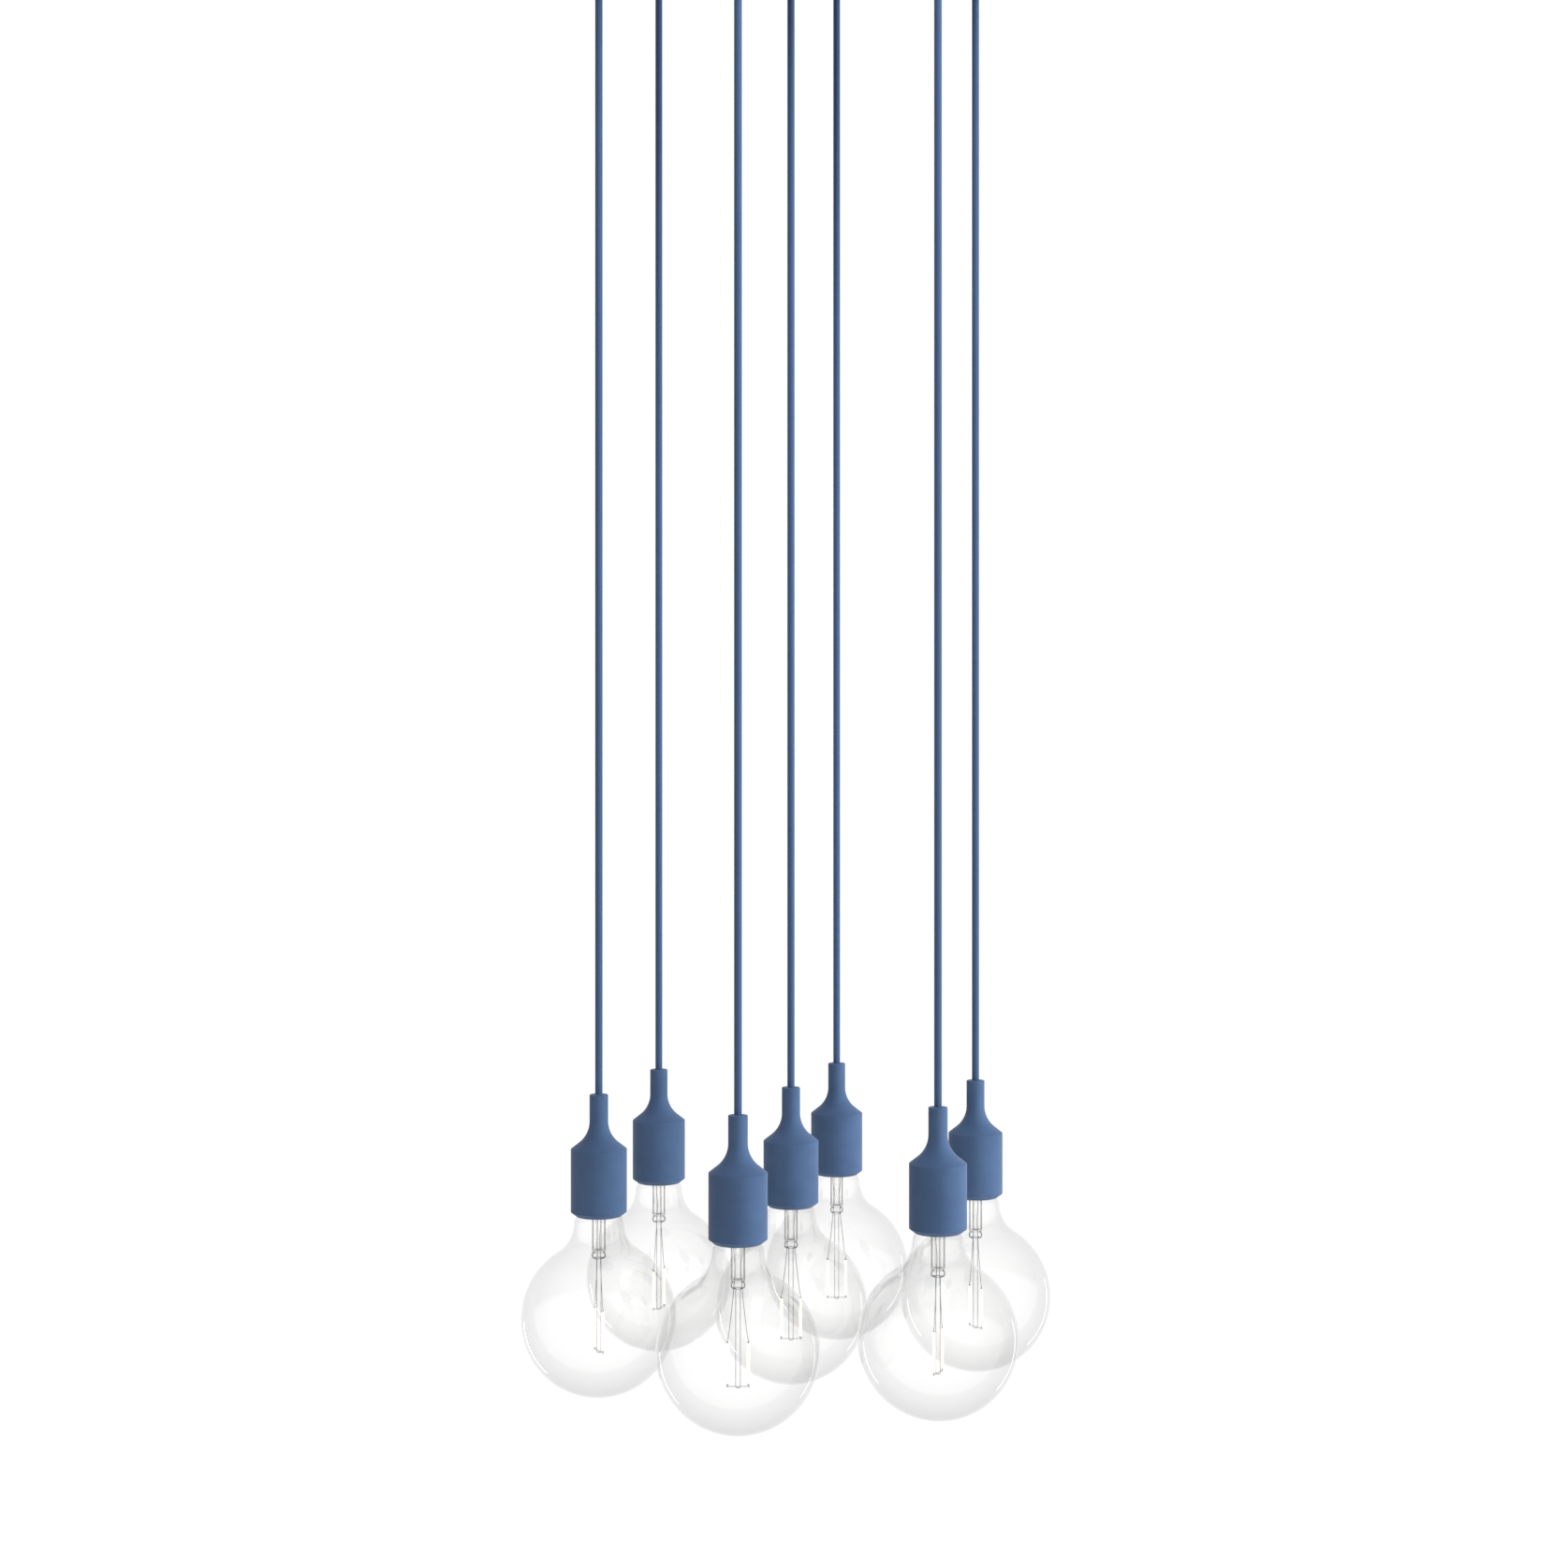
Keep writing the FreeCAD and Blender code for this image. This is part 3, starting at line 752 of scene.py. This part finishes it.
def model_tabs():
    """Flat tabs that the filaments are welded by, above and below each."""
    tabs = []
    for side in (-1, 1):
        for top, foot in ((171.9, 173.5), (203.7, 205.3)):
            place = (side * FILAMENT_X * MM, 0, below_neck((top + foot) / 2))
            tab = begin_cube("tab", place)
            bpy.ops.transform.resize(value=(1.3 * MM, 0.35 * MM, (foot - top) * MM))
            bpy.ops.mesh.bevel(offset=0.1 * MM, segments=2, affect="EDGES")
            bpy.ops.object.mode_set(mode="OBJECT")
            tab.data.transform(tab.matrix_world)
            tab.matrix_world = Matrix.Identity(4)
            tabs.append(tab)
    piece = join("tabs", tabs)
    finish_with(piece, "lead")
    return piece


def thin_wire(name, points, radius):
    """A wire along points in millimetres, as a mesh."""
    places = [(x * MM, y * MM, below_neck(below)) for x, y, below in points]
    piece = round_line(name, places, radius * MM, side_steps=2, way_steps=6)
    select_only(piece)
    bpy.ops.object.convert(target="MESH")
    smooth(piece, 50)
    return piece


def model_leads():
    """Lead-in wires down the stem to hooks, and the cross wire on the rod's end with its ticks."""
    wires = []
    for side in (-1, 1):
        for name, (radius, points) in SIDE_WIRES.items():
            mirrored = [(side * x, y, below) for x, y, below in points]
            wires.append(thin_wire(name, mirrored, radius))
    wires.append(thin_wire("cross", CROSS_WIRE, CROSS_R))
    piece = join("leads", wires)
    finish_with(piece, "lead")
    return piece


# ---- rolled threads ----------------------------------------------------------------------------

THREAD_PITCH = 3.629
CREST, ROOT = 13.0, 11.9
THREAD_SIDES = 48
RINGS_A_TURN = 12


def thread_radius(turns):
    """Radius in millimetres of the rolled round thread, by how many pitches down it is."""
    share = 0.5 + 0.5 * math.cos(math.tau * turns)
    return ROOT + (CREST - ROOT) * share


def rolled_tube(name, top, foot, wall_offset, run_out):
    """A thin tube from top to foot whose rolled thread fades out at both ends over run_out."""
    deselect()
    length = foot - top
    rings = math.ceil(length / THREAD_PITCH * RINGS_A_TURN)
    bpy.ops.mesh.primitive_circle_add(vertices=THREAD_SIDES, radius=CREST * MM, location=(0, 0, 0))
    piece = bpy.context.object
    piece.name = name
    edit_all()
    bpy.ops.transform.translate(value=(0, 0, below_neck(foot)))
    for _ in range(rings):
        extrude(0, length * MM / rings)
    bpy.ops.object.mode_set(mode="OBJECT")
    for vertex in piece.data.vertices:
        below = (NECK_TOP - vertex.co.z) / MM
        angle = math.atan2(vertex.co.y, vertex.co.x)
        turns = below / THREAD_PITCH + angle / math.tau
        fade = min(max(min(below - top, foot - below) / run_out, 0.0), 1.0)
        radius = CREST + (thread_radius(turns) - CREST) * fade + wall_offset
        vertex.co.x = radius * MM * math.cos(angle)
        vertex.co.y = radius * MM * math.sin(angle)
    return piece


def thicken(piece, thickness, offset):
    """Gives a thin tube a wall, inwards if offset is -1 and outwards if it is 1."""
    select_only(piece)
    wall = piece.modifiers.new("wall", "SOLIDIFY")
    wall.thickness = thickness * MM
    wall.offset = offset
    bpy.ops.object.modifier_apply(modifier="wall")
    edit_all()
    end_edit()


def model_cap():
    """Rolled screw cap closed to the insulator at its top, with a plain skirt over the glass."""
    thread = rolled_tube("cap", 70.1, 90.6, 0, 3.0)
    thicken(thread, 0.35, -1)
    skirt = turned("skirt", profile([(12.45, 85.9), (12.45, 90.6), (CREST, 90.6), (CREST, 85.9)]))
    cone = [(8.5, 68.1), (10.5, 68.1), (CREST, 70.1), (12.6, 70.2), (10.3, 68.5), (8.5, 68.5)]
    piece = join("cap", [thread, skirt, turned("cone", profile(cone))])
    smooth(piece)
    finish_with(piece, "cap")
    return piece


def model_tip():
    """Black glass insulator with its soldered contact."""
    glass = [(0, 64.9), (5.6, 64.9), (6.0, 65.2), (9.9, 67.7, 0.5, -1), (10.3, 68.1), (0, 68.1)]
    contact = [(0, 64.9), (0, 64.0), (1.6, 64.0, 2.4, -1), (3.4, 64.35, 1.5, -1), (4.4, 64.9)]
    insulator = turned("insulator", profile(glass))
    finish_with(insulator, "vitrite")
    button = turned("button", profile(contact), degrees_a_step=12)
    finish_with(button, "solder")
    for piece in (insulator, button):
        smooth(piece)
    return insulator, button


def model_shell():
    """Brass screw shell of the holder, rolled to take the cap, with its flange above."""
    thread = rolled_tube("shell", 62.6, 85.1, 0.72, 2.0)
    thicken(thread, 0.3, 1)
    flange = [(8, 61.1), (13.9, 61.1), (13.9, 62.8), (13.5, 62.8), (13.5, 61.6), (8, 61.6)]
    piece = join("shell", [thread, turned("flange", profile(flange))])
    smooth(piece)
    finish_with(piece, "brass")
    return piece


def model_contact():
    """Sprung tongue bent down to a domed pad for the bulb's tip."""
    dome_height, dome_r = 0.55, 4.5
    bend_x, bend_rise = -2, 0.35
    piece = begin_cube("contact", (0, 0, 0))
    bpy.ops.transform.resize(value=(9 * MM, 5 * MM, 0.5 * MM))
    bpy.ops.transform.translate(value=(0, 0, below_neck(62.9)))
    bpy.ops.mesh.subdivide(number_cuts=5)
    bpy.ops.mesh.bevel(offset=0.12 * MM, segments=1, affect="EDGES")
    bpy.ops.object.mode_set(mode="OBJECT")
    for vertex in piece.data.vertices:
        out = math.hypot(vertex.co.x, vertex.co.y) / MM
        vertex.co.z -= dome_height * MM * math.cos(min(out / dome_r, 1.0) * math.pi / 2)
        if vertex.co.x < bend_x * MM:
            vertex.co.z += (bend_x * MM - vertex.co.x) * bend_rise
    smooth(piece)
    finish_with(piece, "brass")
    return piece


def place_lamp(letter, masters):
    """Copies the modelled lamp to its axis, with the bulb's pieces facing their own way."""
    x, y = lamp_axis(letter)
    move = Matrix.Translation((x, y, 0))
    turn = Matrix.Rotation(math.radians(BULB_TURN[letter]), 4, "Z")
    for word, (master, body, node, slot) in masters.items():
        matrix = move @ turn if body.startswith("bulb") else move
        piece = copied(master, f"{word}_{letter}", matrix)
        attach(piece, f"{body}_{letter}")
        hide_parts(f"{node}_{letter}")
        piece.visible_shadow = slot != "clear_glass"
        piece.visible_glossy = slot != "silicone"


def build_lamps():
    """Models one lamp as pieces with a body, a replaced node and a slot, and copies it to all."""
    insulator, button = model_tip()
    masters = {
        "bell_cover": (model_cover(), "lamp", "silicone_cover", "silicone"),
        "screw_shell": (model_shell(), "lamp", "holder_contacts", "brass"),
        "centre_contact": (model_contact(), "lamp", "holder_contacts", "brass"),
        "tip_insulator": (insulator, "bulb_tip", "bulb_tip", "tip_insulator"),
        "tip_button": (button, "bulb_tip", "bulb_tip", "tip_insulator"),
        "screw_cap": (model_cap(), "bulb", "bulb_cap", "cap_metal"),
        "globe": (model_envelope(), "bulb", "bulb_glass", "clear_glass"),
        "stem": (model_stem(), "bulb", "bulb_glass", "clear_glass"),
        "exhaust_tube": (model_exhaust(), "bulb", "bulb_glass", "clear_glass"),
        "filament_left": (model_filament(-1), "bulb", "bulb_filaments", "filament"),
        "filament_right": (model_filament(1), "bulb", "bulb_filaments", "filament"),
        "filament_tabs": (model_tabs(), "bulb", "bulb_filaments", "filament"),
        "lead_wires": (model_leads(), "bulb", "bulb_filaments", "filament"),
    }
    for letter in LETTERS:
        place_lamp(letter, masters)
    for master, *_ in masters.values():
        discard(master)


# ---- pieces that keep their CAD shape, and the small screws ------------------------------------


def finish_nodes():
    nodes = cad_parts
    finish_with(nodes["canopy_pan"], "powder")
    finish_with(nodes["ceiling_bracket"], "zinc")
    finish_with(nodes["cord_grips"], "grip")
    finish_with(nodes["canopy_wiring"], "wiring")
    for letter in LETTERS:
        finish_with(nodes[f"lamp_holder_{letter}"], "holder")


def model_screw(name, finish, head_r, head_h, shank_r, shank_l):
    """Slotted cheese-head screw on the Z axis: head below z = 0, shank above it."""
    corners = [
        (0, shank_l),
        (shank_r, shank_l),
        (shank_r, 0),
        (head_r, 0),
        (head_r, -0.6 * head_h),
        (0.86 * head_r, -head_h),
        (0, -head_h),
    ]
    piece = turned(name, [(out * MM, up * MM) for out, up in corners], steps=32)
    blade = begin_cube("blade", (0, 0, -head_h * MM))
    blade.scale = (2.4 * head_r * MM, 0.3 * head_r * MM, head_h * MM)
    piece.modifiers.new("slot", "BOOLEAN").object = blade
    select_only(piece)
    bpy.ops.object.modifier_apply(modifier="slot")
    discard(blade)
    smooth(piece, 30)
    finish_with(piece, finish)
    return piece


def fit_screw(master, name, place, degrees=0, axis="Z"):
    """A copy of a screw on the canopy, at a place in millimetres."""
    move = Matrix.Translation([length * MM for length in place])
    piece = copied(master, name, move @ Matrix.Rotation(math.radians(degrees), 4, axis))
    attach(piece, "canopy")


def fit_screws():
    """Two from the pan's wall into the bracket's tabs, one for earth, six in the block."""
    side = model_screw("side_screw", "zinc", 3.6, 2.4, 1.7, 6.4)
    clamp = model_screw("clamp_screw", "brass", 1.9, 0.9, 1.2, 3.0)
    earth = model_screw("earth_screw", "brass", 3.4, 2.2, 1.9, 1.9)
    for name, way in (("right", 1), ("left", -1)):
        fit_screw(side, f"side_screw_{name}", (190 * way, 0, -12), -90 * way, "Y")
    fit_screw(earth, "earth_screw_under_bracket", (-50, 0, -2))
    for column, x in enumerate((51, 63, 75), 1):
        for row, y in (("front", -4.8), ("back", 4.8)):
            name = f"clamp_screw_{row}_{column}"
            fit_screw(clamp, name, (x, y, -17), degrees=37 * column + y)
    for master in (side, clamp, earth):
        discard(master)


# ---- floor, light and camera -------------------------------------------------------------------


def lay_floor():
    """Pale disc far under the lamps, kept out of the reflections."""
    deselect()
    bpy.ops.mesh.primitive_circle_add(
        vertices=96, radius=2.9, fill_type="NGON", location=(0, 0, -2.4)
    )
    floor = bpy.context.object
    floor.name = "floor"
    f = Finish("pale_floor")
    pale = f.made_of(
        Base_Color=f.blend(f.noise(0.8), grey(0.92), grey(0.95)),
        Roughness=0.9,
        Emission_Color=grey(1),
        Emission_Strength=0.45,
    )
    floor.data.materials.append(pale)
    floor.visible_glossy = False


def add_softbox(name, place, aim_height, width, height, power, shines=True):
    """A soft lamp aimed at the lamps' middle. It shows in gloss only if it shines."""
    light = bpy.data.lights.new(name, "AREA")
    light.shape = "RECTANGLE"
    light.size = width
    light.size_y = height
    light.energy = power
    lamp = bpy.data.objects.new(name, light)
    lamp.location = place
    aim = Vector((0, 0, aim_height)) - Vector(place)
    lamp.rotation_euler = aim.to_track_quat("-Z", "Y").to_euler()
    lamp.visible_camera = False
    lamp.visible_glossy = shines
    bpy.context.scene.collection.objects.link(lamp)


class Studio(Finish):
    """The world's nodes: one look for the eye, one for gloss and one for soft light."""

    def __init__(self, name):
        self.world = bpy.data.worlds.new(name)
        self.world.use_nodes = True
        self.tree = self.world.node_tree
        self.tree.nodes.clear()

    def greys(self, value, low, high, *stops):
        """Greys over a value from low to high. A stop is a share of that way and a tone."""
        made = self.add("ValToRGB", None, {"Fac": self.span(value, low, high)})
        ramp = made.socket.node.color_ramp
        while len(ramp.elements) < len(stops):
            ramp.elements.new(1.0)
        for element, (share, tone) in zip(ramp.elements, stops):
            element.position = share
            element.color = grey(tone)
        return made

    def glow(self, colour, strength=1.0):
        return self.add("Background", None, {"Color": colour, "Strength": strength})

    def hang(self, shader):
        output = self.tree.nodes.new("ShaderNodeOutputWorld")
        self.tree.links.new(shader.socket, output.inputs["Surface"])
        bpy.context.scene.world = self.world


def light_studio():
    """White all round, a wide low panel in front for the gloss, soft grey light from the right."""
    room = Studio("studio")
    across = room.add("SeparateXYZ", None, {0: room.add("TexCoord", output="Generated")})
    ahead, up = across.output("Y"), across.output("Z")
    soft = room.greys(across, -1, 1, (0.0, 0.13), (0.5, 0.13), (1.0, 0.32))
    lift = up + 0.75 * ahead
    panel = room.greys(
        lift, -1.2, 0.8, (0.0, 0.8), (0.32, 1.0), (0.70, 1.0), (0.80, 0.44), (1.0, 0.58)
    )
    backdrop = room.greys(up, -1, 1, (0.0, 0.54), (0.25, 0.94), (0.55, 1.0), (1.0, 0.8))
    behind = room.span(ahead - 0.64 * up, 0.24, 0.34)
    gloss = room.mix_shaders(behind, room.glow(panel, 1.5), room.glow(backdrop))
    ray = room.add("LightPath")
    lit = room.mix_shaders(ray.output("Is Glossy Ray"), room.glow(soft), gloss)
    seen = room.glow(grey(1.0), 1.03)
    room.hang(room.mix_shaders(ray.output("Is Camera Ray"), lit, seen))
    add_softbox("right_softbox", (2.56, -0.45, -0.8), -1.0, 1.4, 2.0, 76, shines=False)
    add_softbox("left_softbox", (-2.2, -1.6, -0.9), -1.1, 0.9, 1.6, 3.6)
    add_softbox("left_strip", (-1.5, 1.5, -2.15), -1.2, 0.10, 1.1, 1.3)
    add_softbox("right_strip", (1.6, 1.5, -1.9), -1.2, 0.10, 1.5, 1.0)
    add_softbox("top_softbox", (0.5, -1.1, 1.0), -1.1, 1.2, 1.0, 30, shines=False)


def set_camera():
    """Level, 2.1 m in front of the cluster, with a small shift down as in the photograph."""
    data = bpy.data.cameras.new("camera")
    data.sensor_width = 36
    data.lens = 59.0
    data.shift_x = -0.0003
    data.shift_y = -0.0308
    camera = bpy.data.objects.new("camera", data)
    camera.location = (-0.00531, -2.1053, -0.7121)
    camera.rotation_euler = (math.radians(90), 0, 0)
    bpy.context.scene.collection.objects.link(camera)
    bpy.context.scene.camera = camera


set_camera()
for lamp_letter in LETTERS:
    hang_cord(lamp_letter)
build_lamps()
finish_nodes()
fit_screws()
lay_floor()
light_studio()
scene = bpy.context.scene
scene.view_settings.view_transform = "Standard"
scene.cycles.max_bounces = 32
scene.cycles.glossy_bounces = 8
scene.cycles.transparent_max_bounces = 32
